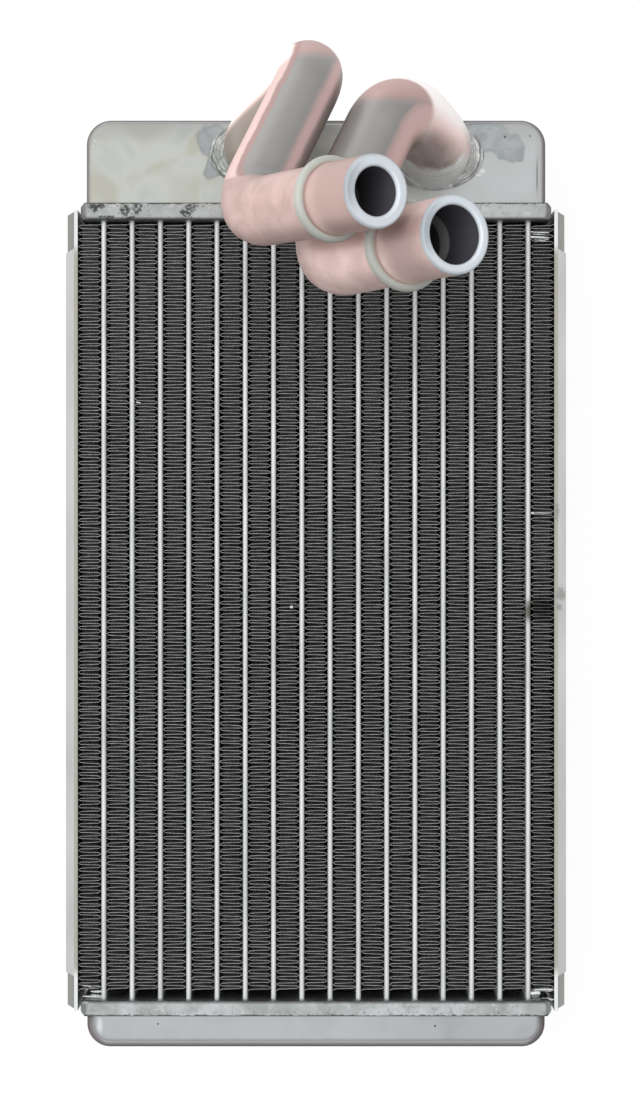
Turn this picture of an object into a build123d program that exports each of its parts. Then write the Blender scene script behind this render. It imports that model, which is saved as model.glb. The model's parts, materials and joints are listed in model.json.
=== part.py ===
from build123d import *
from math import atan2, copysign, cos, sin
import os

# Brazed aluminium heater core, lying on its back: +X across the tubes, +Y towards the
# tank that carries the pipes, +Z out of the front face, where the pipes point.
# All sizes are in millimetres.

# Core: flat tubes with a folded fin on each side of every tube
tube_count = 16
tube_pitch = 8.0
tube_thickness = 1.4
tube_depth = 26.0
tube_wall = 0.3
core_height = 219.6
tube_end = 2.0
fin_foil = 0.3
fin_leg_pitch = 2.5
fin_setback = 0.3
fin_gap_top = 1.4
fin_gap_bottom = 2.4

# Tanks and the header plates that close them
tank_width = 129.5
tank_depth = 29.0
tank_wall = 1.5
top_tank_height = 26.9
top_tank_corner = 7.0
top_tank_edge = 1.5
bottom_tank_height = 12.1
bottom_tank_corner = 6.6
bottom_tank_edge = 3.2
header_plate = 1.6
header_rim = 1.6
header_corner = 2.5
header_edge = 1.3
rim_slant_in = 1.3
rim_slant_down = 1.2
top_rim_height = 4.9
bottom_rim_height = 4.3
slot_clearance = 0.05
seat_clearance = 0.05

# Baffle that parts the inlet side of the top tank from the outlet side
baffle_thickness = 1.2
left_tube_count = 9

# Side plates: channels with their flanges turned outwards
plate_thickness = 1.0
plate_length = 226.2
plate_depth = 27.0
flange_width = 3.3
flange_end_top = 10.4
flange_end_bottom = 9.2
flange_slant = 1.9
lug_setback = 2.6
lug_width = 3.1
lug_slant = 1.3

# Pipes: each leaves the tank's front face, bends over and turns to the hose end
inlet_radius = 8.75
inlet_wall = 2.9
inlet_bead_radius = 10.5
inlet_seat = 19.0
inlet_exit = (-16.7, 17.2)
inlet_rise = 19.0
inlet_top_bend = (8.6, 51.8, 62.2)
inlet_elbow = (-18.6, -8.4, 88.5)
inlet_end = (14.5, -10.9, 143.0)
inlet_bends = [10.0, 11.2, 14.0]
outlet_radius = 9.5
outlet_wall = 2.4
outlet_bead_radius = 11.4
outlet_seat = 21.6
outlet_exit = (33.3, 17.0)
outlet_rise = 17.5
outlet_top_bend = (21.5, 27.2, 63.2)
outlet_elbow = (-0.2, -19.9, 78.0)
outlet_end = (33.3, -20.1, 136.5)
outlet_bends = [11.0, 11.5, 18.0]
bead_width = 2.6
bead_groove = 1.5
mouth_rounding = 0.8

# Weld collars round the feet of the pipes
weld_height = 1.7
weld_sink = 1.3
weld_foot_side = 5.0
weld_foot_top = 0.7
weld_crest_side = 1.0
weld_crest_top = 0.35
weld_bulge = 0.8

# Values that follow from the ones above
fin_height = tube_pitch - tube_thickness
stack_half = (tube_count + 1) * fin_height / 2 + tube_count * tube_thickness / 2
header_width = tank_width + 2 * (header_rim + seat_clearance)
header_depth = tank_depth + 2 * (header_rim + seat_clearance)
mid_depth = header_depth / 2
tank_front = mid_depth + tank_depth / 2
header_face = core_height / 2
plate_seat = header_face + header_plate
tube_length = 2 * (plate_seat + tube_end)
cutter_length = 4 * (tank_wall + weld_height)
same_place = 0.01


def tank_body(width, height, depth, corner):
    """Outer form of a tank, open side at Y = 0, the two far corners rounded."""
    outline = Pos(0, height / 2) * Rectangle(width, height)
    outline = fillet(outline.vertices().group_by(Axis.Y)[-1], corner)
    return Pos(0, 0, mid_depth - depth / 2) * extrude(outline, depth)


def round_front_and_back(body, depth, radius):
    """Rounds the edges of the front and back faces, apart from those at the open side."""
    edges = [
        edge
        for edge in body.edges()
        if abs(abs(edge.center().Z - mid_depth) - depth / 2) < same_place
        and edge.center().Y > same_place
    ]
    return fillet(edges, radius)


def tank_outside(height, corner, edge):
    body = tank_body(tank_width, height, tank_depth, corner)
    return round_front_and_back(body, tank_depth, edge)


def tank_shell(height, corner, edge):
    inside_depth = tank_depth - 2 * tank_wall
    inside = tank_body(tank_width - 2 * tank_wall, height - tank_wall, inside_depth, corner - tank_wall)
    if edge > tank_wall:
        inside = round_front_and_back(inside, inside_depth, edge - tank_wall)
    return tank_outside(height, corner, edge) - inside


def tube_plane(x, y):
    """A plane across a tube: its X runs through the depth of the core."""
    return Plane(origin=(x, y, mid_depth), x_dir=(0, 0, 1), z_dir=(0, 1, 0))


def tube_x(index):
    return (index - (tube_count - 1) / 2) * tube_pitch


def fin_x(index):
    return (index - tube_count / 2) * tube_pitch


def header(rim_height):
    """A shallow tray with the tube slots in its floor, which lies at Y = 0, rim upwards."""
    tray = Pos(0, rim_height / 2, mid_depth) * Box(header_width, rim_height, header_depth)
    tray = fillet(tray.edges().filter_by(Axis.Y), header_corner)
    tray = fillet(tray.edges().group_by(Axis.Y)[0], header_edge)
    pocket_depth = rim_height - header_plate
    pocket = Pos(0, header_plate + pocket_depth / 2, mid_depth) * Box(
        tank_width + 2 * seat_clearance, pocket_depth, tank_depth + 2 * seat_clearance
    )
    tray -= pocket
    half = header_width / 2
    for side in (-1, 1):  # the rim's edge slants down at both ends
        corner = [(half - rim_slant_in, rim_height), (half, rim_height), (half, rim_height - rim_slant_down)]
        corner = Polygon(*[(side * x, y) for x, y in corner], align=None)
        tray -= Pos(0, 0, mid_depth) * extrude(corner, header_depth, both=True)
    slot = SlotOverall(tube_depth + 2 * slot_clearance, tube_thickness + 2 * slot_clearance)
    for index in range(tube_count):
        tray -= extrude(tube_plane(tube_x(index), 0) * slot, header_plate)
    return tray


def flat_tube(index):
    inner = SlotOverall(tube_depth - 2 * tube_wall, tube_thickness - 2 * tube_wall)
    section = SlotOverall(tube_depth, tube_thickness) - inner
    return extrude(tube_plane(tube_x(index), -tube_length / 2) * section, tube_length)


def fin(index):
    """One strip folded to and fro between two tubes, its folds against their flat sides."""
    low = -header_face + fin_gap_bottom
    high = header_face - fin_gap_top
    legs = round((high - low) / fin_leg_pitch)
    rise = (high - low) / legs
    lean = atan2(rise, fin_height)
    tip = fin_foil / 2 / sin(lean)
    side_shift = fin_foil / 2 / cos(lean)
    reach = fin_height / 2 - tip
    x = fin_x(index)
    left = [(x - reach, low + side_shift)]
    right = [(x - reach, low - side_shift)]
    for fold in range(1, legs):
        side = 1 if fold % 2 else -1
        y = low + fold * rise
        left.append((x + side * (reach - side * tip), y))
        right.append((x + side * (reach + side * tip), y))
    side = 1 if legs % 2 else -1
    left.append((x + side * reach, high + side * side_shift))
    right.append((x + side * reach, high - side * side_shift))
    depth = tube_depth - 2 * fin_setback
    outline = Polygon(*right, *reversed(left), align=None)
    return Pos(0, 0, mid_depth - depth / 2) * extrude(outline, depth)


def lug_outline(start, end):
    """The part of a flange that is stepped back, from where the full flange ends."""
    outer = stack_half + lug_width
    inner = stack_half + plate_thickness
    outer_end = end - copysign(lug_slant, end)
    return Polygon((inner, start), (outer, start), (outer, outer_end), (inner, end), align=None)


def side_plate(side):
    """A channel against the outer fin, with stepped-back lugs where the flanges end."""
    half = plate_length / 2
    web_middle = stack_half + plate_thickness / 2
    plate = Pos(web_middle, 0, mid_depth) * Box(plate_thickness, plate_length, plate_depth)
    top = half - flange_end_top
    bottom = -half + flange_end_bottom
    outer = stack_half + flange_width
    flange = Polygon(
        (stack_half, bottom),
        (outer, bottom + flange_slant),
        (outer, top - flange_slant),
        (stack_half, top),
        align=None,
    )
    top_lug = lug_outline(top - flange_slant, half)
    bottom_lug = lug_outline(bottom + flange_slant, -half)
    back = mid_depth - plate_depth / 2
    front = mid_depth + plate_depth / 2 - plate_thickness
    for flange_level, lug_level in ((back, back + lug_setback), (front, front - lug_setback)):
        plate += Pos(0, 0, flange_level) * extrude(flange, plate_thickness)
        for outline in (top_lug, bottom_lug):
            plate += Pos(0, 0, lug_level) * extrude(outline, plate_thickness, dir=(0, 0, 1))
    return plate if side > 0 else mirror(plate, Plane.YZ)


def tank_baffle():
    height = top_tank_height - tank_wall - seat_clearance
    depth = tank_depth - 2 * (tank_wall + seat_clearance)
    x = fin_x(left_tube_count)
    return Pos(x, plate_seat + height / 2, mid_depth) * Box(baffle_thickness, height, depth)


def foot(exit_point):
    """Where a pipe meets the tank's front face; exits are counted from the header's face."""
    return (exit_point[0], plate_seat + exit_point[1], tank_front)


def route(exit_point, rise, corners):
    """The pipe's corner points; their Y is counted from the header plate, like the exit's."""
    start = Vector(*foot(exit_point))
    points = [start, start + Vector(0, 0, rise)]
    points += [Vector(x, plate_seat + y, z) for x, y, z in corners]
    return points


def hose_end_plane(points):
    return Plane(origin=points[-1], z_dir=points[-1] - points[-2])


def pipe(points, bends, radius, wall, bead_radius, seat):
    """A bent pipe with a raised bead behind the stretch that the hose is pushed onto."""
    path = FilletPolyline(*points, radius=bends)
    start = Plane(origin=points[0], z_dir=points[1] - points[0])
    tube = sweep(start * Circle(radius), path=path)
    bore = sweep(start * Circle(radius - wall), path=path)
    end = hose_end_plane(points)
    bead_middle = -(seat + bead_width / 2)
    crest = bead_radius - bead_width / 2
    bead = Torus(crest, bead_width / 2) + Cylinder(crest, bead_width)
    bead = end * Pos(0, 0, bead_middle) * bead
    groove = end * Pos(0, 0, bead_middle) * Cylinder(radius - wall + bead_groove, bead_width / 2)
    body = tube + bead - bore - groove
    mouth = [
        edge
        for edge in body.edges().filter_by(GeomType.CIRCLE)
        if (edge.arc_center - points[-1]).length < same_place
    ]
    return fillet(mouth, mouth_rounding)


def weld(exit_point, radius):
    """An oval collar of weld, hugging the tank's face and its rounded edge."""
    centre = Vector(*foot(exit_point))
    low = Plane(centre - Vector(0, 0, weld_sink))
    middle = Plane(centre + Vector(0, 0, weld_height / 2))
    high = Plane(centre + Vector(0, 0, weld_height))
    collar = loft(
        [
            low * Ellipse(radius + weld_foot_side, radius + weld_foot_top),
            middle * Ellipse(radius + weld_bulge * weld_foot_side, radius + weld_bulge * weld_foot_top),
            high * Ellipse(radius + weld_crest_side, radius + weld_crest_top),
        ]
    )
    hole = Pos(centre) * Cylinder(radius, cutter_length)
    tank = Pos(0, plate_seat, 0) * tank_outside(top_tank_height, top_tank_corner, top_tank_edge)
    return collar - hole - tank


def top_tank():
    tank = Pos(0, plate_seat, 0) * tank_shell(top_tank_height, top_tank_corner, top_tank_edge)
    for exit_point, radius, wall in (
        (inlet_exit, inlet_radius, inlet_wall),
        (outlet_exit, outlet_radius, outlet_wall),
    ):
        tank -= Pos(*foot(exit_point)) * Cylinder(radius - wall, cutter_length)
    return tank


def bottom_tank():
    turned = Rot(0, 0, 180) * tank_shell(bottom_tank_height, bottom_tank_corner, bottom_tank_edge)
    return Pos(0, -plate_seat, 0) * turned


inlet_points = route(inlet_exit, inlet_rise, [inlet_top_bend, inlet_elbow, inlet_end])
outlet_points = route(outlet_exit, outlet_rise, [outlet_top_bend, outlet_elbow, outlet_end])

nodes = {
    "top_tank": top_tank(),
    "bottom_tank": bottom_tank(),
    "top_header": Pos(0, header_face, 0) * header(top_rim_height),
    "bottom_header": Pos(0, -header_face, 0) * (Rot(0, 0, 180) * header(bottom_rim_height)),
    "tank_baffle": tank_baffle(),
    "left_side_plate": side_plate(-1),
    "right_side_plate": side_plate(1),
    "inlet_pipe": pipe(inlet_points, inlet_bends, inlet_radius, inlet_wall, inlet_bead_radius, inlet_seat),
    "outlet_pipe": pipe(
        outlet_points, outlet_bends, outlet_radius, outlet_wall, outlet_bead_radius, outlet_seat
    ),
    "inlet_weld": weld(inlet_exit, inlet_radius),
    "outlet_weld": weld(outlet_exit, outlet_radius),
}
for number in range(tube_count):
    nodes[f"flat_tube_{number + 1:02d}"] = flat_tube(number)
for number in range(tube_count + 1):
    nodes[f"fin_{number + 1:02d}"] = fin(number)

# The origin is under the middle of the whole part, on the plane that it lies on
whole = Compound(children=[Compound([solid for solid in shape.solids()]) for shape in nodes.values()])
bounds = whole.bounding_box()
to_origin = Pos(-bounds.center().X, -bounds.center().Y, -bounds.min.Z)

os.makedirs("parts", exist_ok=True)
for name, shape in nodes.items():
    export_step(to_origin * shape, f"parts/{name}.step")
print("origin moved by", to_origin.position, "overall size", bounds.size)
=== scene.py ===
import json
import math
import random

import bmesh
import bpy
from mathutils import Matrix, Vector


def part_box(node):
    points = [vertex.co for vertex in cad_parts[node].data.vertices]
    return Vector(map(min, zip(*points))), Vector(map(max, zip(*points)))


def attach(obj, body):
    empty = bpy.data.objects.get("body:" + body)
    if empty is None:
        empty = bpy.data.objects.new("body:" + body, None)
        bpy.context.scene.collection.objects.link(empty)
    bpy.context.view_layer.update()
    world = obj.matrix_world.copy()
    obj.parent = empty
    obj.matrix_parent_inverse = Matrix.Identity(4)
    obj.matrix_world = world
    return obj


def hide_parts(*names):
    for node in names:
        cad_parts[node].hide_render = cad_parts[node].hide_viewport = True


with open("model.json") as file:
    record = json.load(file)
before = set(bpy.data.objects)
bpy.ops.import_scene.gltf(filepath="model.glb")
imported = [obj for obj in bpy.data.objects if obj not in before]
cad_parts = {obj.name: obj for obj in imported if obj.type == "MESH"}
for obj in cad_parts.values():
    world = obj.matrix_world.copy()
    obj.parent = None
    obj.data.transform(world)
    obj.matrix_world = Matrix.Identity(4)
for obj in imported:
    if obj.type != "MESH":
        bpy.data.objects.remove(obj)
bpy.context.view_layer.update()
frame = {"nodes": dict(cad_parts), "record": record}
nodes = frame["nodes"]
mm = 0.001
print("frame loaded:", len(nodes), "CAD nodes")


# the camera is straight above the core, and image up is +Y
photo = {
    "width": 640,  # pixels
    "height": 1108,
    "focal": 2300.0,
    "right": 1.13,  # mm from the core's middle to the camera
    "up": 15.9,
    "above": 679,  # mm over the floor
    "sensor": 36,
}
coreMiddle = (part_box("top_header")[0].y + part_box("bottom_header")[1].y) / 2
cameraAt = Vector((
    photo["right"] * mm,
    coreMiddle + photo["up"] * mm,
    photo["above"] * mm,
))

camera = bpy.data.objects.new("camera", bpy.data.cameras.new("camera"))
bpy.context.scene.collection.objects.link(camera)
camera.location = cameraAt  # an unturned Blender camera looks down -Z
camera.data.sensor_width = photo["sensor"]
camera.data.lens = photo["focal"] * camera.data.sensor_width / photo["height"]
camera.data.clip_start = 0.01
bpy.context.scene.camera = camera


def atPixel(px, py, z):  # the point at height z that the photo shows at this pixel
    scale = (cameraAt.z - z) / photo["focal"]
    return Vector((
        cameraAt.x + (px - photo["width"] / 2) * scale,
        cameraAt.y - (py - photo["height"] / 2) * scale,
        z,
    ))


# node helpers
def screen(red, green, blue):  # a colour as a screen shows it, 0 to 255, as Blender's linear one
    def linear(value):
        value /= 255
        return value / 12.92 if value <= 0.04045 else ((value + 0.055) / 1.055) ** 2.4
    return (linear(red), linear(green), linear(blue), 1.0)


def addNode(tree, kind, inputs=None, **settings):
    made = tree.nodes.new("ShaderNode" + kind)
    for name, value in settings.items():
        setattr(made, name, value)
    for key, value in (inputs or {}).items():
        if isinstance(value, bpy.types.NodeSocket):
            tree.links.new(value, made.inputs[key])
        else:
            made.inputs[key].default_value = value
    return made


def math2(tree, operation, a, b=0.0):
    return addNode(tree, "Math", {0: a, 1: b}, operation=operation).outputs[0]


def times(tree, a, b):
    return math2(tree, "MULTIPLY", a, b)


def most(tree, *values):
    result = values[0]
    for value in values[1:]:
        result = math2(tree, "MAXIMUM", result, value)
    return result


def apart(tree, value, place):  # distance between two numbers
    return math2(tree, "ABSOLUTE", math2(tree, "SUBTRACT", value, place))


def dot(tree, a, b):
    return addNode(tree, "VectorMath", {0: a, 1: b}, operation="DOT_PRODUCT").outputs["Value"]


def parts(tree, vector):  # its X, Y and Z
    return addNode(tree, "SeparateXYZ", {0: vector}).outputs


def fromPoint(tree, where, point):
    return addNode(tree, "VectorMath", {0: where, 1: point}, operation="SUBTRACT").outputs[0]


def lengthOf(tree, vector):
    return addNode(tree, "VectorMath", {0: vector}, operation="LENGTH").outputs["Value"]


def surfaceNormal(tree):
    return addNode(tree, "NewGeometry").outputs["Normal"]


def colourMix(tree, factor, a, b):
    return addNode(tree, "Mix", {0: factor, 6: a, 7: b}, data_type="RGBA").outputs[2]


def colourRamp(tree, value, *stops):
    ramp = addNode(tree, "ValToRGB", {0: value})
    elements = ramp.color_ramp.elements
    while len(elements) < len(stops):
        elements.new(0.5)
    for element, (place, colour) in zip(elements, stops):
        element.position = place
        element.color = colour
    return ramp.outputs[0]


def fade(tree, value, low, high, toLow=0.0, toHigh=1.0):  # smooth step from low to high
    return addNode(tree, "MapRange", {
        "Value": value, "From Min": low, "From Max": high, "To Min": toLow, "To Max": toHigh,
    }, interpolation_type="SMOOTHSTEP").outputs[0]


def turnedEdge(tree, facing, start, full, share):
    # a rounded edge from where it starts to turn down, but not the flat side below it
    return times(tree, fade(tree, facing, start, full, 0, share), fade(tree, facing, 0.02, 0.12))


def noise(tree, where, size, detail=3.0, distortion=0.0, stretch=(1, 1, 1)):  # size of a blotch in mm
    placed = addNode(tree, "Mapping", {"Vector": where, "Scale": stretch}).outputs[0]
    return addNode(tree, "TexNoise", {
        "Vector": placed, "Scale": 1 / (size * mm), "Detail": detail, "Distortion": distortion,
    }).outputs["Fac"]


def unevenBy(tree, where, size, reach):  # noise on both sides of zero
    return times(tree, math2(tree, "SUBTRACT", noise(tree, where, size), 0.5), reach)


def patch(tree, where, centre, halfSize, ragged=0.35, soft=0.12, grain=3.0, turn=0.0):
    # 1 inside an uneven oval of this half size in mm round the centre, 0 outside it
    moved = addNode(tree, "Mapping", {
        "Vector": where,
        "Location": centre,
        "Rotation": (0, 0, turn),
        "Scale": [half * mm for half in halfSize],
    }, vector_type="TEXTURE").outputs[0]
    distance = math2(tree, "ADD", lengthOf(tree, moved), unevenBy(tree, where, grain, ragged * 2))
    return fade(tree, distance, 1 + soft, 1 - soft)


def spotted(tree, where, colour, spots, height, tint, share=1.0, **shape):
    # the colour with spots of the tint, each at a photo pixel and with its half size in mm
    for pixel, halfSize in spots:
        spot = patch(tree, where, atPixel(*pixel, height), halfSize, **shape)
        colour = colourMix(tree, times(tree, spot, share), colour, tint)
    return colour


def newMaterial(name, metallic=1.0):
    material = bpy.data.materials.new(name)
    material.use_nodes = True
    tree = material.node_tree
    shader = tree.nodes["Principled BSDF"]
    shader.inputs["Metallic"].default_value = metallic
    where = addNode(tree, "TexCoord").outputs["Object"]
    return material, tree, shader, where


def bump(tree, shader, height, strength, depth):  # depth in mm
    made = addNode(tree, "Bump", {"Height": height, "Strength": strength, "Distance": depth * mm})
    tree.links.new(made.outputs[0], shader.inputs["Normal"])


def dress(material, *names):
    for name in names:
        mesh = nodes[name].data
        mesh.materials.clear()
        mesh.materials.append(material)


# the stage: a white floor, a bright softbox overhead, a dimmer room round it
studio = {
    "floorColour": (0.88, 0.88, 0.88, 1.0),
    "floorRoughness": 0.9,
    "floorSpecular": 0.1,
    "floorHalf": 3.0,  # m
    "floorGlow": 0.94,  # how much of the floor is plain white to the camera, the rest keeps the shadow
    "noGlow": 2.5,  # mm in under the core, from where the floor gives no light
    "mirroredFloorShade": (0.4, 0.95),  # painted shade: the floor that the metal mirrors is dimmer near the core than away from it
    "mirroredFrom": (5, 60),  # mm from the core
    "overhead": (0.99, 1.0, 1.0, 1.0),
    "walls": (0.36, 0.36, 0.36, 1.0),
    "wallsUpTo": (40, 62),  # degrees of elevation over which the walls turn into the softbox
    "window": (1.3, 1.28, 1.26, 1.0),
    "windowTowards": (-0.62, 0.75, 0.22),
    "windowEdge": (0.8, 0.92),  # cosines from its middle, over which it sets in
    "lampPower": 17.0,
    "lampAt": (-0.35, 0.15, 1.15),
    "lampSize": 0.9,
}


def makeFloor():
    mesh = bpy.data.meshes.new("floor")
    half = studio["floorHalf"]
    corners = [(-half, -half, 0), (half, -half, 0), (half, half, 0), (-half, half, 0)]
    mesh.from_pydata(corners, [], [(0, 1, 2, 3)])
    floor = bpy.data.objects.new("floor", mesh)
    bpy.context.scene.collection.objects.link(floor)
    material, tree, shader, where = newMaterial("floorPaper", metallic=0.0)
    shader.inputs["Base Color"].default_value = studio["floorColour"]
    shader.inputs["Roughness"].default_value = studio["floorRoughness"]
    shader.inputs["Specular IOR Level"].default_value = studio["floorSpecular"]

    # how far a point lies outside the core's outline, negative under the core
    low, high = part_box("bottom_header")[0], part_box("top_header")[1]
    low.x, high.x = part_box("left_side_plate")[0].x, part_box("right_side_plate")[1].x
    middle = fromPoint(tree, where, (low + high) / 2)
    sides = parts(tree, addNode(tree, "VectorMath", {0: middle}, operation="ABSOLUTE").outputs[0])
    away = most(
        tree,
        math2(tree, "SUBTRACT", sides["X"], (high.x - low.x) / 2),
        math2(tree, "SUBTRACT", sides["Y"], (high.y - low.y) / 2),
    )
    rays = addNode(tree, "LightPath").outputs
    seen, metal = rays["Is Camera Ray"], rays["Is Glossy Ray"]
    # painted shade: near the core the metal mirrors a dimmer floor
    near, far = [distance * mm for distance in studio["mirroredFrom"]]
    mirrored = fade(tree, away, near, far, *studio["mirroredFloorShade"])
    strength = math2(tree, "ADD", seen, times(tree, metal, mirrored))
    glow = math2(tree, "ADD", times(tree, seen, studio["floorGlow"]), metal)
    glow = times(tree, glow, fade(tree, away, -studio["noGlow"] * mm, 0))
    white = addNode(tree, "Emission", {"Color": (1, 1, 1, 1), "Strength": strength})
    both = addNode(tree, "MixShader", {0: glow, 1: shader.outputs[0], 2: white.outputs[0]})
    tree.links.new(both.outputs[0], tree.nodes["Material Output"].inputs["Surface"])
    mesh.materials.append(material)


def makeLight():
    world = bpy.data.worlds.new("dome")
    bpy.context.scene.world = world
    world.use_nodes = True
    tree = world.node_tree
    direction = addNode(tree, "TexCoord").outputs["Generated"]
    lowEdge, highEdge = [math.sin(math.radians(angle)) for angle in studio["wallsUpTo"]]
    upward = dot(tree, direction, (0, 0, 1))
    colour = colourMix(tree, fade(tree, upward, lowEdge, highEdge), studio["walls"], studio["overhead"])
    toWindow = dot(tree, direction, Vector(studio["windowTowards"]).normalized())
    colour = colourMix(tree, fade(tree, toWindow, *studio["windowEdge"]), colour, studio["window"])
    seen = addNode(tree, "LightPath").outputs["Is Camera Ray"]
    colour = colourMix(tree, seen, colour, (1, 1, 1, 1))
    tree.links.new(colour, tree.nodes["Background"].inputs["Color"])

    lamp = bpy.data.lights.new("softLamp", "AREA")
    lamp.energy = studio["lampPower"]
    lamp.size = studio["lampSize"]
    holder = bpy.data.objects.new("softLamp", lamp)
    bpy.context.scene.collection.objects.link(holder)
    holder.location = studio["lampAt"]
    holder.rotation_euler = (-holder.location).to_track_quat("-Z", "Y").to_euler()
    holder.visible_glossy = False  # it lights, but the metal mirrors only the softbox and the window


makeFloor()
makeLight()
bpy.context.scene.view_settings.view_transform = "Standard"
print("camera and stage made")


# the two tanks
tankLooks = {
    "cloud": 15,  # sizes of blotches in mm
    "wear": 2.2,
    "heatMottle": 3.2,
    "dents": 1.6,
    "rightFrom": (10, 40),  # mm from the middle, over which the right half's colour sets in
    "heat": screen(178, 181, 183),
    "heatDark": screen(162, 166, 168),
    "heatRim": screen(148, 154, 156),  # the line where a heat mark ends
    "heatRimWidth": 0.35,  # mm
    "heatMarks": [  # photo pixel, half size in mm, turn
        ((213, 142), (4.3, 4.8, 9), 0.2),
        ((216, 163), (2.6, 5.2, 9), -0.4),
        ((480, 132), (7.0, 2.6, 9), 0.1),
        ((494, 142), (6.5, 2.9, 9), 0.05),
        ((511, 148), (4.0, 4.0, 9), -0.3),
    ],
    "shade": screen(176, 176, 174),  # painted shade: darker zones along the top and the right end of the top tank
    "shadeBelow": (124, 150),  # photo pixels between which the top's painted shade ends
    # spots: photo pixel, half size in mm
    "shadedEnd": [((545, 172), (2.4, 14, 9))],
    "scratch": screen(128, 130, 132),
    "scratches": [((537, 176), (0.16, 5.0, 9))],
    "pit": screen(92, 94, 92),
    "pits": [
        ((505, 137), (0.35, 0.35, 3)), ((530, 136), (0.25, 0.25, 3)),
        ((158, 1024), (0.25, 0.25, 3)), ((435, 1026), (0.3, 0.3, 3)),
    ],
    "glint": screen(226, 228, 228),
    "glints": [
        ((100, 1025), (0.7, 1.9, 9)), ((540, 1027), (0.5, 2.4, 9)), ((482, 171), (0.8, 0.6, 9)),
        ((478, 175), (0.9, 0.35, 9)), ((95, 141), (0.3, 0.25, 9)), ((93, 146), (0.2, 0.3, 9)),
    ],
    "edge": [  # painted shade: darker as a rounded edge turns down, from how much it still faces up
        (0.2, screen(54, 50, 50)), (0.41, screen(72, 68, 69)), (0.565, screen(98, 94, 96)),
        (0.76, screen(119, 116, 118)), (0.9, screen(148, 146, 148)),
    ],
    "endEdgeShade": screen(100, 94, 93),  # painted shade, darker still on the rounded edges at both ends
    "endEdgeShare": 0.6,
    "roughness": (0.3, 0.42),
    "edgeRoughness": 0.6,
    "edgeMetallic": 0.15,
    "specular": (0.5, 0.05),  # on the face and on the edge
    "metals": {  # the bottom tank is a little bluer
        "tankAluminium": {
            "light": screen(207, 209, 203),
            "dark": screen(190, 193, 191),
            "warm": screen(200, 199, 187),
            "right": screen(205, 208, 210),  # its right half
            "edgeShare": 0.95,
        },
        "lowTankAluminium": {
            "light": screen(194, 197, 200),
            "dark": screen(184, 187, 190),
            "warm": screen(194, 197, 200),
            "right": screen(182, 185, 189),
            "edgeShare": 1.0,
        },
    },
}


def heatStains(tree, where, face):  # the marks together, and the lines where they end
    marks = []
    for pixel, halfSize, turn in tankLooks["heatMarks"]:
        centre = atPixel(*pixel, face)
        inside = [half - tankLooks["heatRimWidth"] for half in halfSize]
        mark = patch(tree, where, centre, halfSize, turn=turn, ragged=0.45, soft=0.14)
        inner = patch(tree, where, centre, inside, turn=turn, ragged=0.45, soft=0.14)
        marks.append((mark, math2(tree, "SUBTRACT", mark, inner)))
    rim = 0.0
    for mark, edge in marks:  # a rim shows only where no other mark covers it
        others = most(tree, *[other for other, unused in marks if other is not mark])
        rim = most(tree, rim, times(tree, edge, math2(tree, "SUBTRACT", 1.0, others)))
    return most(tree, *[mark for mark, unused in marks]), rim


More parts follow.
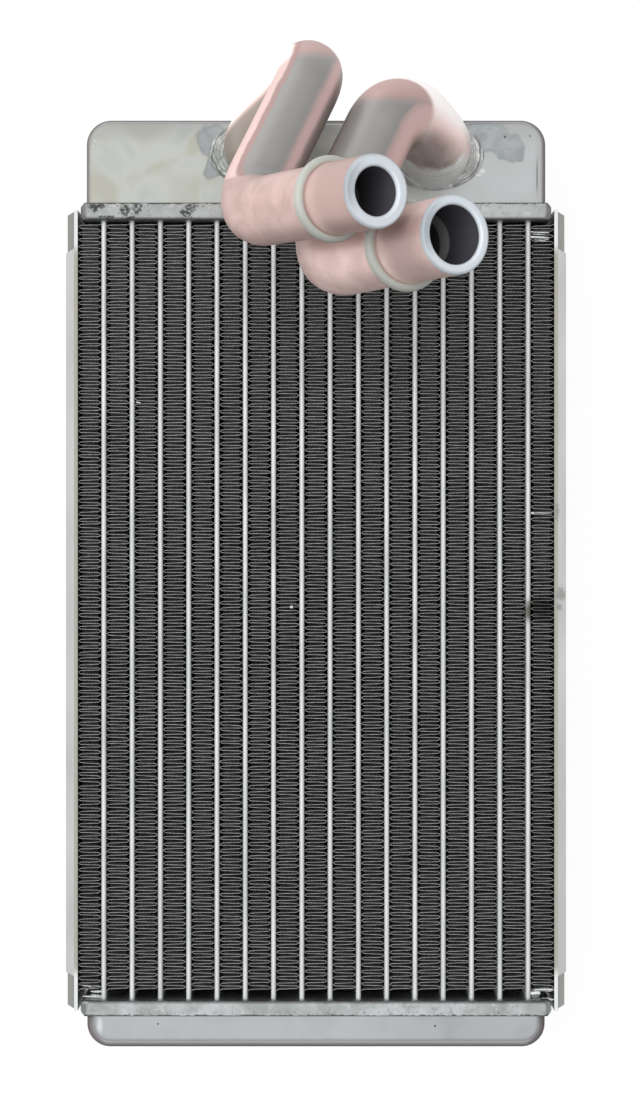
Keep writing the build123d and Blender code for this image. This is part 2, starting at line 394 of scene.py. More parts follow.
def tankFinish(name):
    metal = tankLooks["metals"][name]
    material, tree, shader, where = newMaterial(name)
    place = parts(tree, where)
    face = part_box("top_tank")[1].z
    cloud = noise(tree, where, tankLooks["cloud"], detail=2.0, distortion=0.55)
    colour = colourRamp(tree, cloud, (0.34, metal["dark"]), (0.5, metal["light"]), (0.64, metal["warm"]))
    rightColour = colourRamp(tree, cloud, (0.34, metal["dark"]), (0.64, metal["right"]))
    near, far = [distance * mm for distance in tankLooks["rightFrom"]]
    colour = colourMix(tree, fade(tree, place["X"], near, far), colour, rightColour)
    wear = noise(tree, where, tankLooks["wear"], detail=5.0)
    colour = colourMix(tree, fade(tree, wear, 0.62, 0.78, 0, 0.5), colour, metal["dark"])
    # painted shade along the top and at the right end
    high, low = [atPixel(0, py, face).y for py in tankLooks["shadeBelow"]]
    colour = colourMix(tree, fade(tree, place["Y"], low, high, 0, 0.6), colour, tankLooks["shade"])
    colour = spotted(tree, where, colour, tankLooks["shadedEnd"], face, tankLooks["shade"],
                     share=0.6, ragged=0.2, soft=0.6)
    colour = spotted(tree, where, colour, tankLooks["scratches"], face, tankLooks["scratch"],
                     ragged=0.3, soft=0.4)

    heat, rim = heatStains(tree, where, face)
    mottled = colourRamp(tree, noise(tree, where, tankLooks["heatMottle"], detail=5.0, distortion=0.5),
                         (0.38, tankLooks["heatDark"]), (0.6, tankLooks["heat"]))
    colour = colourMix(tree, heat, colour, mottled)
    colour = colourMix(tree, rim, colour, tankLooks["heatRim"])
    colour = spotted(tree, where, colour, tankLooks["pits"], face, tankLooks["pit"],
                     ragged=0.4, soft=0.3, grain=0.6)
    colour = spotted(tree, where, colour, tankLooks["glints"], face, tankLooks["glint"],
                     ragged=0.5, soft=0.6, grain=0.8)

    # painted shade on the rounded edges: darker as they turn away from facing up, and more so at both ends
    normal = parts(tree, surfaceNormal(tree))
    share = metal["edgeShare"]
    turned = turnedEdge(tree, normal["Z"], 0.985, 0.9, share)
    endShadeMask = fade(tree, math2(tree, "ABSOLUTE", normal["X"]), 0.1, 0.35, 0, tankLooks["endEdgeShare"])
    edgeColour = colourRamp(tree, normal["Z"], *tankLooks["edge"])
    edgeColour = colourMix(tree, endShadeMask, edgeColour, tankLooks["endEdgeShade"])
    colour = colourMix(tree, turned, colour, edgeColour)
    tree.links.new(colour, shader.inputs["Base Color"])
    rough = fade(tree, cloud, 0.3, 0.7, *tankLooks["roughness"])
    rough = most(tree, rough, times(tree, turned, tankLooks["edgeRoughness"]))
    tree.links.new(rough, shader.inputs["Roughness"])
    metallic = fade(tree, turned, 0.1 * share, share, 1.0, tankLooks["edgeMetallic"])
    tree.links.new(metallic, shader.inputs["Metallic"])
    specular = fade(tree, turned, 0.1 * share, share, *tankLooks["specular"])
    tree.links.new(specular, shader.inputs["Specular IOR Level"])
    bump(tree, shader, noise(tree, where, tankLooks["dents"]), 0.3, 0.04)
    return material


dress(tankFinish("tankAluminium"), "top_tank", "tank_baffle")
dress(tankFinish("lowTankAluminium"), "bottom_tank")


# the header plates, between the tanks and the core
headerLooks = {
    "cloud": 9,  # sizes of blotches in mm
    "mottle": 2.2,
    "scorchGrain": 0.75,
    "jointGrain": 1.5,
    "speckGrain": 0.7,
    "dents": 1.2,
    "light": {"top_header": screen(196, 198, 196), "bottom_header": screen(206, 209, 211)},
    "dark": screen(174, 178, 178),
    "mottleDark": screen(158, 162, 161),
    "mottleLight": screen(216, 219, 219),
    "edge": screen(104, 105, 103),  # painted shade, where the rounded edge turns down
    "edgeShare": {"top_header": 0.75, "bottom_header": 0.45},
    "joint": screen(104, 104, 100),  # dark flux, where the tank goes into the rim
    "jointWidth": 0.45,  # mm
    "jointAt": {"top_header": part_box("top_header")[1].y, "bottom_header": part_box("bottom_header")[0].y},
    "specksUpTo": (0.6, 2.4),  # mm from the joint, over which its specks run out
    "scorch": screen(84, 88, 84),
    "scorches": [  # photo pixel, half size in mm
        ((94, 208), (1.6, 1.1, 9)), ((101, 206), (1.0, 0.8, 9)), ((125, 211), (1.5, 1.7, 9)),
        ((137, 208), (1.3, 1.9, 9)), ((131, 218), (1.7, 0.6, 9)), ((106, 217), (1.9, 0.6, 9)),
        ((187, 212), (1.7, 1.5, 9)), ((192, 207), (1.2, 1.2, 9)),
    ],
    "roughness": 0.38,
}


def headerFinish(name, header):
    material, tree, shader, where = newMaterial(name)
    cloud = noise(tree, where, headerLooks["cloud"], detail=5.0, distortion=0.4)
    colour = colourRamp(tree, cloud, (0.36, headerLooks["dark"]), (0.6, headerLooks["light"][header]))
    mottle = noise(tree, where, headerLooks["mottle"], detail=6.0, distortion=0.6)
    colour = colourMix(tree, fade(tree, mottle, 0.56, 0.68, 0, 0.55), colour, headerLooks["mottleDark"])
    colour = colourMix(tree, fade(tree, mottle, 0.42, 0.32, 0, 0.6), colour, headerLooks["mottleLight"])

    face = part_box("top_header")[1].z
    scorch = 0.0
    for pixel, halfSize in headerLooks["scorches"]:
        spot = patch(tree, where, atPixel(*pixel, face), halfSize, ragged=1.0, soft=0.35, grain=1.2)
        scorch = most(tree, scorch, spot)
    grain = noise(tree, where, headerLooks["scorchGrain"], detail=4.0, distortion=0.8)
    grain = fade(tree, grain, 0.42, 0.5)
    scorch = times(tree, scorch, fade(tree, grain, 0, 1, 0.25, 1.0))
    colour = colourMix(tree, scorch, colour, headerLooks["scorch"])

    fromJoint = apart(tree, parts(tree, where)["Y"], headerLooks["jointAt"][header])
    uneven = fade(tree, noise(tree, where, headerLooks["jointGrain"]), 0.3, 0.7, 0.5, 1.6)
    width = headerLooks["jointWidth"] * mm
    joint = fade(tree, math2(tree, "DIVIDE", fromJoint, uneven), width, 0.5 * width)
    near, far = [distance * mm for distance in headerLooks["specksUpTo"]]
    specks = fade(tree, noise(tree, where, headerLooks["speckGrain"]), 0.63, 0.67)
    specks = times(tree, specks, fade(tree, fromJoint, far, near))
    colour = colourMix(tree, most(tree, joint, specks), colour, headerLooks["joint"])

    # painted shade on the rounded edge
    facing = parts(tree, surfaceNormal(tree))["Z"]
    turned = turnedEdge(tree, facing, 0.98, 0.6, headerLooks["edgeShare"][header])
    colour = colourMix(tree, turned, colour, headerLooks["edge"])
    tree.links.new(colour, shader.inputs["Base Color"])
    shader.inputs["Roughness"].default_value = headerLooks["roughness"]
    bump(tree, shader, noise(tree, where, headerLooks["dents"]), 0.4, 0.08)
    return material


dress(headerFinish("topHeaderAluminium", "top_header"), "top_header")
dress(headerFinish("lowHeaderAluminium", "bottom_header"), "bottom_header")


# the side plates
plateLooks = {
    "cloud": 12,  # sizes of blotches in mm
    "dents": 1.2,
    "light": screen(216, 217, 215),
    "dark": screen(200, 201, 199),
    # painted shade: the lug faces, set back behind the flange, are darker
    "shadedLug": screen(164, 163, 160),
    "stepBack": 1.3,  # mm behind the flange, from where a surface counts as lug
    "web": 1.0,  # mm
    "bend": screen(188, 185, 176),  # where the web turns out into the flange
    "bareEnd": screen(246, 248, 248),  # the web's front edge beside the lugs
    "bareFrom": (100, 104),  # mm from the core's middle
    "speck": screen(150, 150, 146),
    "specks": [  # photo pixel, half size in mm
        ((561, 594), (1.3, 1.8, 9)), ((559, 607), (0.8, 1.0, 9)), ((557, 512), (0.5, 2.4, 9)),
    ],
    "roughness": 0.4,
}


def plateFinish():
    material, tree, shader, where = newMaterial("plateAluminium")
    cloud = noise(tree, where, plateLooks["cloud"], detail=4.0, stretch=(1, 0.25, 1))
    colour = colourRamp(tree, cloud, (0.36, plateLooks["dark"]), (0.6, plateLooks["light"]))
    low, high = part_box("right_side_plate")
    place = parts(tree, where)
    web = low.x + plateLooks["web"] * mm
    onWeb = fade(tree, math2(tree, "ABSOLUTE", place["X"]), web + 0.05 * mm, web)
    # painted shade on the set-back lug faces, off the web
    lugFace = high.z - plateLooks["stepBack"] * mm
    shadedLug = times(tree, fade(tree, place["Z"], lugFace, lugFace - 0.2 * mm), math2(tree, "SUBTRACT", 1.0, onWeb))
    colour = colourMix(tree, shadedLug, colour, plateLooks["shadedLug"])
    frontEdge = times(tree, onWeb, fade(tree, place["Z"], high.z - 0.3 * mm, high.z - 0.1 * mm))
    near, far = [distance * mm for distance in plateLooks["bareFrom"]]
    bare = fade(tree, apart(tree, place["Y"], coreMiddle), near, far)
    edgeColour = colourMix(tree, bare, plateLooks["bend"], plateLooks["bareEnd"])
    colour = colourMix(tree, frontEdge, colour, edgeColour)
    colour = spotted(tree, where, colour, plateLooks["specks"], high.z, plateLooks["speck"],
                     share=0.7, ragged=1.0, soft=0.5, grain=0.8)
    tree.links.new(colour, shader.inputs["Base Color"])
    shader.inputs["Roughness"].default_value = plateLooks["roughness"]
    bump(tree, shader, noise(tree, where, plateLooks["dents"]), 0.3, 0.05)
    return material


dress(plateFinish(), "left_side_plate", "right_side_plate")


# the flat tubes, seen on their noses
tubeLooks = {
    "cloud": 6,  # mm, the size of a blotch
    "light": screen(204, 205, 206),
    "dark": screen(184, 186, 187),
    "soot": screen(92, 88, 82),
    "sooty": [((529, 611), (1.0, 3.0, 9))],  # photo pixel, half size in mm
    "metallic": 0.4,
    "roughness": 0.45,
}


def tubeFinish():
    material, tree, shader, where = newMaterial("tubeAluminium", metallic=tubeLooks["metallic"])
    cloud = noise(tree, where, tubeLooks["cloud"], stretch=(1, 0.3, 1))
    colour = colourRamp(tree, cloud, (0.35, tubeLooks["dark"]), (0.65, tubeLooks["light"]))
    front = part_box("flat_tube_16")[1].z
    colour = spotted(tree, where, colour, tubeLooks["sooty"], front, tubeLooks["soot"], soft=0.6, grain=1.5)
    tree.links.new(colour, shader.inputs["Base Color"])
    shader.inputs["Roughness"].default_value = tubeLooks["roughness"]
    return material


tubeNames = sorted(name for name in nodes if name.startswith("flat_tube"))
dress(tubeFinish(), *tubeNames)
print("tanks, headers, side plates and", len(tubeNames), "tubes finished")


# the folded fins with their louvres
finLooks = {
    "cloud": 10,  # sizes of blotches in mm
    "glint": 2.4,
    # the foil's grey is darker than bare aluminium: partly oxide, partly painted shade of the packed core
    "light": screen(102, 103, 101),
    "dark": screen(85, 87, 86),
    "cutEdge": screen(160, 161, 159),
    "cutDepth": 0.15,  # mm of bright cut edge at the front
    "soot": screen(36, 34, 32),
    "sooty": [((542, 609), (3.3, 3.0, 9))],  # photo pixel, half size in mm
    "metallic": 0.35,
    "roughness": 0.5,
    # the fold, in mm
    "legPitch": 0.90,
    "foil": 0.12,
    "band": 0.9,  # plain strip of foil along the front and back edges
    "shoulder": 0.75,  # how far a fold's bend reaches in from its tip
    "bend": 0.42,  # share of the pitch that is climbed in the bend
    "plainSide": 1.0,  # plain foil between a fold and the louvres
    "louvre": 1.6,
    "louvreTurn": math.radians(28),
    "louvreClear": 1.04,  # of the bend's climb, where the louvres start
    "reachUp": 0.7,  # how far past its node the last fold goes towards the upper header
    "wobble": 0.12,
    "restless": {"fin_01": 1.7, "fin_02": 1.3, "fin_16": 1.3, "fin_17": 1.5},  # times the wobble
    "drift": 0.22,  # slow waver of the folds on one side against the other
    "driftLength": 9,  # folds
    "driftRates": (1.0, 2.3, 3.9),
    "sag": 0.07,  # of a leg's middle, up or down
    "seed": 40,
}


def finFinish():
    material, tree, shader, where = newMaterial("finAluminium", metallic=finLooks["metallic"])
    cloud = noise(tree, where, finLooks["cloud"])
    # the darkened foil grey: partly oxide, partly painted shade
    colour = colourRamp(tree, cloud, (0.35, finLooks["dark"]), (0.65, finLooks["light"]))
    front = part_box("fin_01")[1].z
    cutFrom = front - finLooks["cutDepth"] * mm
    cutEdge = fade(tree, parts(tree, where)["Z"], cutFrom - 0.1 * mm, cutFrom)
    glint = fade(tree, noise(tree, where, finLooks["glint"], stretch=(1, 4, 1)), 0.4, 0.65, 0.55, 1.0)
    colour = colourMix(tree, times(tree, cutEdge, glint), colour, finLooks["cutEdge"])
    colour = spotted(tree, where, colour, finLooks["sooty"], front, finLooks["soot"], share=0.7, soft=0.6)
    tree.links.new(colour, shader.inputs["Base Color"])
    shader.inputs["Roughness"].default_value = finLooks["roughness"]
    return material


def foldedFin(name, material, dice):
    low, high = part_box(name)
    high.y += finLooks["reachUp"] * mm
    middle = (low.x + high.x) / 2
    wobble = finLooks["wobble"] * finLooks["restless"].get(name, 1.0) * mm
    half = (high.x - low.x) / 2 - finLooks["foil"] * mm / 2
    legs = round((high.y - low.y) / (finLooks["legPitch"] * mm))
    rise = (high.y - low.y - finLooks["foil"] * mm) / legs
    phases = [dice.uniform(0, 2 * math.pi) for rate in finLooks["driftRates"]]

    def slowWaver(turn):
        waves = [math.sin(turn * rate + phase) for rate, phase in zip(finLooks["driftRates"], phases)]
        return sum(waves) / 2

    folds = []  # height of each fold, a little uneven
    for fold in range(legs + 1):
        uneven = dice.uniform(-1, 1) * wobble
        drift = slowWaver(fold / finLooks["driftLength"]) * finLooks["drift"] * mm * (1 if fold % 2 else -1)
        uneven = uneven + drift if 0 < fold < legs else 0
        folds.append(low.y + finLooks["foil"] * mm / 2 + fold * rise + uneven)

    front, back = high.z, low.z
    bandFront, bandBack = front - finLooks["band"] * mm, back + finLooks["band"] * mm
    foil = bmesh.new()
    louvres = bmesh.new()

    def strip(line, zTop, zBottom):
        upper = [foil.verts.new((x, y, zTop)) for x, y in line]
        lower = [foil.verts.new((x, y, zBottom)) for x, y in line]
        for i in range(len(line) - 1):
            foil.faces.new((upper[i], upper[i + 1], lower[i + 1], lower[i]))

    line = []
    count = round((bandFront - bandBack) / (finLooks["louvre"] * mm))
    length = (bandFront - bandBack) / count
    lift = length / 2 * math.tan(finLooks["louvreTurn"])
    shoulder = half - finLooks["shoulder"] * mm
    inner = half - finLooks["plainSide"] * mm
    for leg in range(legs):
        side = -1 if leg % 2 == 0 else 1
        start, end = folds[leg], folds[leg + 1]
        climb = (end - start) * finLooks["bend"]
        sag = dice.uniform(-1, 1) * finLooks["sag"] * mm
        if leg == 0:
            line.append((middle + side * half, start))
        line.append((middle + side * shoulder, start + climb))
        line.append((middle, (start + end) / 2 + sag))
        line.append((middle - side * shoulder, end - climb))
        line.append((middle - side * half, end))
        # louvres: slats turned out of the leg, the other way from mid depth
        clear = climb * finLooks["louvreClear"]
        ends = [(middle + side * inner, start + clear), (middle - side * inner, end - clear)]
        (xLeft, yLeft), (xRight, yRight) = sorted(ends)
        for slat in range(count):
            z0 = bandBack + slat * length
            z1 = z0 + length
            turn = lift if slat >= count / 2 else -lift
            corners = (
                (xLeft, yLeft - turn, z0), (xRight, yRight - turn, z0),
                (xRight, yRight + turn, z1), (xLeft, yLeft + turn, z1),
            )
            louvres.faces.new([louvres.verts.new(corner) for corner in corners])
    strip(line, front, bandFront)
    strip(line, bandBack, back)
    for fold in range(legs + 1):  # plain foil round each fold, between the bands
        near = line[max(fold * 4 - 1, 0):fold * 4 + 2]
        strip(near, bandFront, bandBack)

    made = []
    for part, suffix in ((foil, "foil"), (louvres, "louvres")):
        mesh = bpy.data.meshes.new(name + "_" + suffix)
        part.to_mesh(mesh)
        part.free()
        mesh.materials.append(material)
        piece = bpy.data.objects.new(mesh.name, mesh)
        bpy.context.scene.collection.objects.link(piece)
        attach(piece, "root")
        made.append(piece)
    thick = made[0].modifiers.new("foil", "SOLIDIFY")
    thick.thickness = finLooks["foil"] * mm
    thick.offset = 0
    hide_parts(name)
    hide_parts(name)


finAluminium = finFinish()
finNames = sorted(name for name in nodes if name.startswith("fin_"))
for number, finName in enumerate(finNames):
    foldedFin(finName, finAluminium, random.Random(number + finLooks["seed"]))
print(len(finNames), "fins folded")


# foil bent over at the corners of the core, and slivers of it in its face
bentLooks = {
    "colour": screen(238, 240, 240),
    "roughness": 0.22,
    "dents": 1.4,  # mm, the size of one
    "pixel": 0.28,  # mm at the face of the core
    "taper": 0.35,  # a smaller one makes the ends blunter
    "bow": 0.7,  # share of its depth by which a strip bows towards the front
    "steps": 12,
    "rows": 4,
    "strips": {  # left end and right end as photo pixels, half height in pixels, mm below the core's face
        "topRight": [
            ((529, 232), (549, 233), 2.6, 1.2), ((529, 237), (549, 238), 3.2, 1.0),
            ((534, 242), (549, 242), 1.6, 1.6),
        ],
        "bottomLeft": [
            ((83, 985), (91, 986), 2.2, 1.0), ((89, 987), (104, 986), 0.8, 0.7),
            ((91, 991), (105, 991), 2.4, 1.1), ((83, 996), (105, 997), 2.3, 1.0),
        ],
        "bottomRight": [
            ((534, 989), (555, 989), 2.9, 1.0), ((537, 999), (555, 999), 1.8, 1.0),
            ((529, 993), (540, 993), 5.2, 1.4),
        ],
        "middle": [
            ((136, 402), (141, 403), 1.6, 0.6), ((290, 607), (293, 607), 1.3, 0.1),
            ((532, 513), (552, 513), 0.5, 0.1), ((531, 513), (534, 513), 1.1, 0.1),
        ],
    },
}


def bentFoil():
    material, tree, shader, where = newMaterial("bentFoil")
    shader.inputs["Base Color"].default_value = bentLooks["colour"]
    shader.inputs["Roughness"].default_value = bentLooks["roughness"]
    bump(tree, shader, noise(tree, where, bentLooks["dents"], detail=2.0), 0.8, 0.3)
    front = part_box("fin_01")[1].z
    steps, rows = bentLooks["steps"], bentLooks["rows"]
    for place, strips in bentLooks["strips"].items():
        points, faces = [], []
        for start, end, halfHeight, depth in strips:
            z = front - depth * mm
            start, end = atPixel(*start, z), atPixel(*end, z)
            first = len(points)
            for i in range(steps + 1):
                along = i / steps
                taper = math.sin(math.pi * (along * 0.9 + 0.05)) ** bentLooks["taper"]
                height = 2 * halfHeight * bentLooks["pixel"] * mm * taper
                middle = start.lerp(end, along)
                for j in range(rows + 1):
                    up = j / rows - 0.5
                    bow = math.cos(up * math.pi) * depth * mm * bentLooks["bow"]
                    points.append(middle + Vector((0, up * height, bow)))
            for i in range(steps):
                for j in range(rows):
                    a = first + i * (rows + 1) + j
                    faces.append((a, a + rows + 1, a + rows + 2, a + 1))
        mesh = bpy.data.meshes.new("bent_foil_" + place)
        mesh.from_pydata(points, [], faces)
        mesh.materials.append(material)
        mesh.shade_smooth()
        piece = bpy.data.objects.new(mesh.name, mesh)
        bpy.context.scene.collection.objects.link(piece)
        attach(piece, "root")
    print("bent foil in", len(bentLooks["strips"]), "pieces")


bentFoil()


# the two pipes
pipeLooks = {
    # one pink metal: the outlet's copy is lighter, painted light where the inlet pipe shades it, and the
    # inlet's darker, painted shade
    "rose": {"inlet": screen(188, 160, 154), "outlet": screen(214, 186, 180)},
    "paleRose": {"inlet": screen(206, 178, 172), "outlet": screen(232, 204, 198)},
    "cloud": 9,  # mm, the size of a blotch
    "roughness": (0.42, 0.5),  # along the pipe, and at the bead, mouth and bore
    "metallic": (0.5, 0.2),
    # the return leg, which runs from the elbow to the bend above the tank
    # painted reflection: the leg's grey face
    "returnFaceReflection": screen(150, 148, 146),
    "returnFrom": {"inlet": (222, 175), "outlet": (330, 185)},  # photo pixel where it meets the elbow
    "returnTo": {"inlet": (310, 55), "outlet": (390, 97)},
    "returnHeights": (97, 75),  # mm above the floor, at these two
    "leftTowards": (-0.911, 0.408, -0.009),  # across the leg
    "pinkReflection": screen(203, 172, 169),  # painted reflection, pink, beside and above the leg's face
    "shade": {"inlet": screen(146, 132, 127), "outlet": screen(206, 172, 166)},  # its right side
    "capShade": screen(184, 155, 151),  # painted shade where it turns down to the tank
    "rim": {"inlet": screen(226, 196, 190), "outlet": screen(122, 112, 108)},  # painted light along its left side: a highlight on the inlet, shade on the outlet
    "rimFrom": {"inlet": (0.66, 0.78), "outlet": (0.84, 0.97)},  # from how far a surface turns left
    "rimGlare": {"inlet": 1.0, "outlet": 0.0},
    "line": screen(176, 134, 130),  # painted reflection: a dark pink line between the rim and the face
    "lineShare": {"inlet": 0.7, "outlet": 0.0},
    # the leg out of the tank
    # painted shade: the leg out of the tank is darker, the inlet's most, but for its left edge
    "foot": {"inlet": screen(160, 149, 141), "outlet": screen(190, 172, 165)},
    "footUpTo": 65.5,  # mm above the floor, where it turns into the return leg
    "footHeight": 57,  # mm above the floor, at the pixels below
    # painted reflection: dark blotches on the outlet's leg out of the tank
    "darkReflection": screen(141, 127, 123),
    "darkReflections": {  # photo pixel, half size in mm, turn
        "inlet": [],
        "outlet": [((434, 146), (5.2, 4.0, 9), -0.6), ((432, 158), (4.6, 2.4, 9), -0.5)],
    },
    "glare": screen(255, 250, 248),  # where the photo is blown out to white
    "glareFrom": {  # photo pixel, which way it sets in from there, over how many mm
        "inlet": ((228, 123), (-0.62, 0.79, 0), 2.0),
        "outlet": ((446, 131), (0.42, 0.9, 0), 8.0),
    },
    "pinkHighlight": screen(236, 204, 198),  # painted highlight, pink, just before the glare
    # the outlet's collar colours are lighter than the inlet's: painted light where the pipe shades it
    "collar": {"inlet": screen(206, 207, 203), "outlet": screen(246, 246, 243)},
    "collarDark": {"inlet": screen(150, 150, 147), "outlet": screen(180, 180, 177)},
    "collarUpTo": {"inlet": 36, "outlet": 52.5},  # mm above the floor, the foot that the weld ran up
    "collarUneven": 5,  # mm, up and down in all
    "collarFade": 12,  # mm below its top, over which its grooves get fainter
    "collarRipple": 1.9,  # mm
    "collarSwirl": 14,
    # the hose end
    "seat": screen(178, 151, 145),  # painted shade on the straight end that the hose goes on
    "seatShare": {"inlet": 0.8, "outlet": 0.4},
    "seatFrom": 6,  # mm before its end, over which its colour sets in
    "seatShade": screen(170, 145, 141),  # under the other pipe's mouth
    "seatShades": {"inlet": [], "outlet": [((399, 244), (8, 6.5, 9))]},  # photo pixel, half size in mm
    "seatHeight": 132,  # mm above the floor, at that pixel
    "bead": screen(164, 167, 160),
    "beadShadedSide": screen(130, 130, 125),  # painted shade on its side towards the lower tank
    # painted shadow along both sides of the bead
    "beadShadow": screen(156, 132, 127),
    "beadWidth": 2.6,  # mm
    "mouth": screen(194, 200, 206),
    "mouthShade": screen(134, 141, 146),
    "mouthDepth": 0.9,  # mm of pipe end that is bare and bright
    "rounding": 0.8,  # mm
    # painted shade inside the bore, less of it at the groove behind the bead
    "bore": screen(70, 70, 74),
    "boreDepth": 45,  # mm
    "boreRing": screen(146, 147, 149),  # the groove behind the bead
    "boreRingAt": {"inlet": (17, 19), "outlet": (13.5, 18.5)},  # mm in from the mouth
}


def returnLeg(tree, where, normal, side):  # what shows, and in which colour
    y = parts(tree, where)["Y"]
    elbowHeight, bendHeight = pipeLooks["returnHeights"]
    startY = atPixel(*pipeLooks["returnFrom"][side], elbowHeight * mm).y
    endY = atPixel(*pipeLooks["returnTo"][side], bendHeight * mm).y
    onReturn = fade(tree, y, startY - 0.6 * mm, startY + 0.6 * mm)
    onFace = fade(tree, y, endY + 2.2 * mm, endY - 2.0 * mm)
    left = dot(tree, normal, pipeLooks["leftTowards"])
    left = math2(tree, "ADD", left, unevenBy(tree, where, 5, 0.12))
    rimLow, rimHigh = pipeLooks["rimFrom"][side]
    between = times(tree, fade(tree, left, rimHigh, rimLow), fade(tree, left, -0.66, -0.42))
    line = fade(tree, apart(tree, left, rimLow - 0.02), 0.12, 0.02, 0, pipeLooks["lineShare"][side])
    # the return leg's colours are painted reflection, highlight and shade, laid on by which way the surface
    # faces
    tints = [
        (onReturn, pipeLooks["pinkReflection"]),
        (times(tree, onReturn, fade(tree, left, -0.74, -0.9)), pipeLooks["shade"][side]),
        (fade(tree, y, endY - 2.5 * mm, endY + 0.5 * mm, 0, 0.85), pipeLooks["capShade"]),
        (times(tree, onReturn, fade(tree, left, rimLow, rimHigh)), pipeLooks["rim"][side]),
        (times(tree, onReturn, times(tree, onFace, between)), pipeLooks["returnFaceReflection"]),
        (times(tree, onReturn, line), pipeLooks["line"]),
    ]
    return tints, onReturn, left


def footLeg(tree, where, normal, side, onReturn, left):
    z = parts(tree, where)["Z"]
    top = pipeLooks["footUpTo"]
    foot = fade(tree, z, (top + 1) * mm, (top - 1) * mm)
    # painted shade on the leg out of the tank
    tints = [
        (foot, pipeLooks["foot"][side]),
        (times(tree, foot, fade(tree, left, 0.86, 0.96)), pipeLooks["rose"][side]),
    ]
    footHeight = pipeLooks["footHeight"] * mm
    # painted reflection: dark blotches
    for pixel, halfSize, turn in pipeLooks["darkReflections"][side]:
        darkReflection = patch(tree, where, atPixel(*pixel, footHeight), halfSize, turn=turn, ragged=0.5, soft=0.7)
        tints.append((times(tree, foot, darkReflection), pipeLooks["darkReflection"]))

    upTo = pipeLooks["collarUpTo"][side]
    collar = math2(tree, "ADD", z, unevenBy(tree, where, 4, pipeLooks["collarUneven"] * mm))
    collar = fade(tree, collar, (upTo + 1.5) * mm, (upTo - 1.5) * mm)
    wave = times(tree, z, 2 * math.pi / (pipeLooks["collarRipple"] * mm))
    wave = math2(tree, "ADD", wave, times(tree, noise(tree, where, 5), pipeLooks["collarSwirl"]))
    fainter = fade(tree, z, (upTo - pipeLooks["collarFade"]) * mm, upTo * mm, 0.8, 0.3)
    groove = fade(tree, math2(tree, "SINE", wave), -0.2, -0.9)
    # the outlet's lighter collar is painted light
    tints.append((collar, pipeLooks["collar"][side]))
    tints.append((times(tree, times(tree, collar, fainter), groove), pipeLooks["collarDark"][side]))

    pixel, towards, soft = pipeLooks["glareFrom"][side]
    beyond = dot(tree, fromPoint(tree, where, atPixel(*pixel, footHeight)), towards)
    glare = fade(tree, beyond, -0.3 * soft * mm, 0.7 * soft * mm)
    # painted highlight, pink, where the glare sets in
    pinkHighlight = fade(tree, beyond, -0.7 * soft * mm, 0.2 * soft * mm)
    lit = times(tree, foot, fade(tree, parts(tree, normal)["Z"], -0.05, 0.2))
    rimGlare = times(tree, fade(tree, left, 0.7, 0.82, 0, pipeLooks["rimGlare"][side]), glare)
    tints.append((times(tree, lit, pinkHighlight), pipeLooks["pinkHighlight"]))
    tints.append((times(tree, onReturn, rimGlare), pipeLooks["glare"]))
    tints.append((times(tree, lit, glare), pipeLooks["glare"]))
    return tints


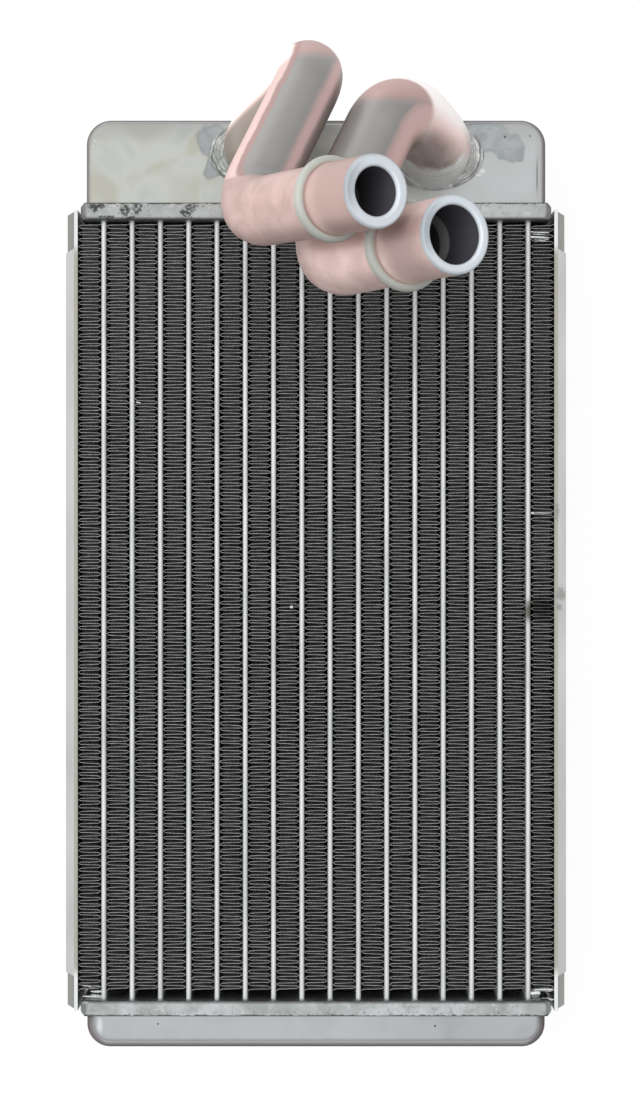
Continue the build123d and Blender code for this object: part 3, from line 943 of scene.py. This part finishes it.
def hoseEnd(tree, where, normal, side, wall, colour):  # colours seat, bead, mouth and bore
    mounts = frame["record"]["mounts"]
    seat = next(mount for mount in mounts if mount["name"] == side + "_hose_seat")
    axis = Vector(seat["axis"]).normalized()
    radius, length = seat["dims"]["r_mm"] * mm, seat["dims"]["length_mm"] * mm
    rounding = pipeLooks["rounding"] * mm
    fromMouth = fromPoint(tree, where, Vector(seat["pos_m"]) + axis * (length / 2 + rounding))
    along = dot(tree, fromMouth, axis)
    across = addNode(tree, "VectorMath", {0: fromMouth, 1: axis}, operation="CROSS_PRODUCT").outputs[0]
    offAxis = lengthOf(tree, across)

    # painted shade on the straight end, and the other pipe's painted shadow on the outlet's
    onSeat = fade(tree, along, -length, -length + pipeLooks["seatFrom"] * mm, 0, pipeLooks["seatShare"][side])
    colour = colourMix(tree, onSeat, colour, pipeLooks["seat"])
    colour = spotted(tree, where, colour, pipeLooks["seatShades"][side], pipeLooks["seatHeight"] * mm,
                     pipeLooks["seatShade"], soft=0.6, ragged=0.2)

    half = pipeLooks["beadWidth"] / 2 * mm
    fromBead = apart(tree, along, -(length + rounding + half))
    onBead = fade(tree, fromBead, half + 0.5 * mm, half + 0.1 * mm)
    onBead = times(tree, onBead, fade(tree, offAxis, radius + 0.05 * mm, radius + 0.3 * mm))
    # painted shadow beside the bead
    beadShadowMask = fade(tree, fromBead, half + 1.3 * mm, half + 0.3 * mm, 0, 0.55)
    colour = colourMix(tree, beadShadowMask, colour, pipeLooks["beadShadow"])
    # painted shade on the bead's side towards the lower tank
    downward = fade(tree, dot(tree, normal, (0, -1, 0)), 0.1, 0.9, 0, 0.7)
    beadColour = colourMix(tree, downward, pipeLooks["bead"], pipeLooks["beadShadedSide"])
    colour = colourMix(tree, onBead, colour, beadColour)

    # painted shade inside the bore, less of it at the groove behind the bead
    depth = pipeLooks["boreDepth"]
    inBore = fade(tree, offAxis, radius - (wall - 0.4) * mm, radius - (wall - 0.1) * mm)
    inBore = times(tree, inBore, fade(tree, along, -(depth + 2) * mm, -depth * mm))
    colour = colourMix(tree, inBore, colour, pipeLooks["bore"])
    near, far = [distance * mm for distance in pipeLooks["boreRingAt"][side]]
    ring = fade(tree, apart(tree, along, -(near + far) / 2), (far - near) / 2, (far - near) / 2 - 0.8 * mm)
    colour = colourMix(tree, times(tree, inBore, ring), colour, pipeLooks["boreRing"])

    depth = pipeLooks["mouthDepth"]
    atMouth = fade(tree, along, -(depth + 0.3) * mm, -depth * mm)
    leftHalf = fade(tree, dot(tree, fromMouth, (-1, 0.15, 0)), 0.35 * radius, 0.95 * radius, 0, 0.9)
    outerEdge = fade(tree, offAxis, radius - 0.9 * mm, radius - 0.1 * mm, 0, 0.6)
    mouthColour = colourMix(tree, most(tree, leftHalf, outerEdge), pipeLooks["mouth"], pipeLooks["mouthShade"])
    colour = colourMix(tree, atMouth, colour, mouthColour)
    return colour, most(tree, onBead, atMouth, inBore)


def pipeFinish(side, wall):
    material, tree, shader, where = newMaterial(side + "PipeAluminium")
    normal = surfaceNormal(tree)
    cloud = noise(tree, where, pipeLooks["cloud"], detail=4.0, distortion=0.8)
    # the per-side rose carries painted light and shade
    colour = colourRamp(tree, cloud, (0.36, pipeLooks["rose"][side]), (0.62, pipeLooks["paleRose"][side]))
    tints, onReturn, left = returnLeg(tree, where, normal, side)
    tints += footLeg(tree, where, normal, side, onReturn, left)
    for mask, tint in tints:
        colour = colourMix(tree, mask, colour, tint)
    colour, dull = hoseEnd(tree, where, normal, side, wall, colour)
    tree.links.new(colour, shader.inputs["Base Color"])
    tree.links.new(fade(tree, dull, 0, 1, *pipeLooks["roughness"]), shader.inputs["Roughness"])
    tree.links.new(fade(tree, dull, 0, 1, *pipeLooks["metallic"]), shader.inputs["Metallic"])
    return material


dress(pipeFinish("inlet", wall=2.9), "inlet_pipe")
dress(pipeFinish("outlet", wall=2.4), "outlet_pipe")


# the welds round their feet
weldLooks = {
    # the outlet weld is lighter than the inlet weld: painted light where the pipe shades it
    "light": {"inlet_weld": screen(200, 202, 198), "outlet_weld": screen(240, 241, 239)},
    "dark": {"inlet_weld": screen(134, 137, 135), "outlet_weld": screen(188, 189, 188)},
    "cloud": 3,  # sizes of blotches in mm
    "dents": 1.5,
    "ripples": 4,
    "collar": 0.35,  # share of half the weld's box that the ripples take up
    "rippleHeight": 0.35,  # mm
    "metallic": 0.6,
    "roughness": 0.3,
}


def weldFinish(name):
    material, tree, shader, where = newMaterial(name + "Metal", metallic=weldLooks["metallic"])
    low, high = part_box(name)
    centre, half = (low + high) / 2, (high - low) / 2
    placed = addNode(tree, "Mapping", {
        "Vector": where, "Location": (centre.x, centre.y, 0), "Scale": (half.x, half.y, 1000),
    }, vector_type="TEXTURE").outputs[0]
    outward = lengthOf(tree, placed)  # 1 on the oval's outline, whatever the height
    outward = math2(tree, "ADD", outward, times(tree, noise(tree, where, 4), 0.16))
    wave = times(tree, outward, weldLooks["ripples"] * 2 * math.pi / weldLooks["collar"])
    ripple = math2(tree, "ADD", times(tree, math2(tree, "SINE", wave), 0.5), 0.5)
    cloud = noise(tree, where, weldLooks["cloud"], detail=4.0, distortion=0.6)
    # the outlet weld's lighter colours are painted light
    dark = weldLooks["dark"][name]
    colour = colourRamp(tree, cloud, (0.35, dark), (0.65, weldLooks["light"][name]))
    colour = colourMix(tree, fade(tree, ripple, 0.0, 0.3, 0.5, 0), colour, dark)
    tree.links.new(colour, shader.inputs["Base Color"])
    shader.inputs["Roughness"].default_value = weldLooks["roughness"]
    height = math2(tree, "ADD", ripple, noise(tree, where, weldLooks["dents"]))
    bump(tree, shader, height, 0.9, weldLooks["rippleHeight"])
    return material


dress(weldFinish("inlet_weld"), "inlet_weld")
dress(weldFinish("outlet_weld"), "outlet_weld")
print("pipes and welds finished")
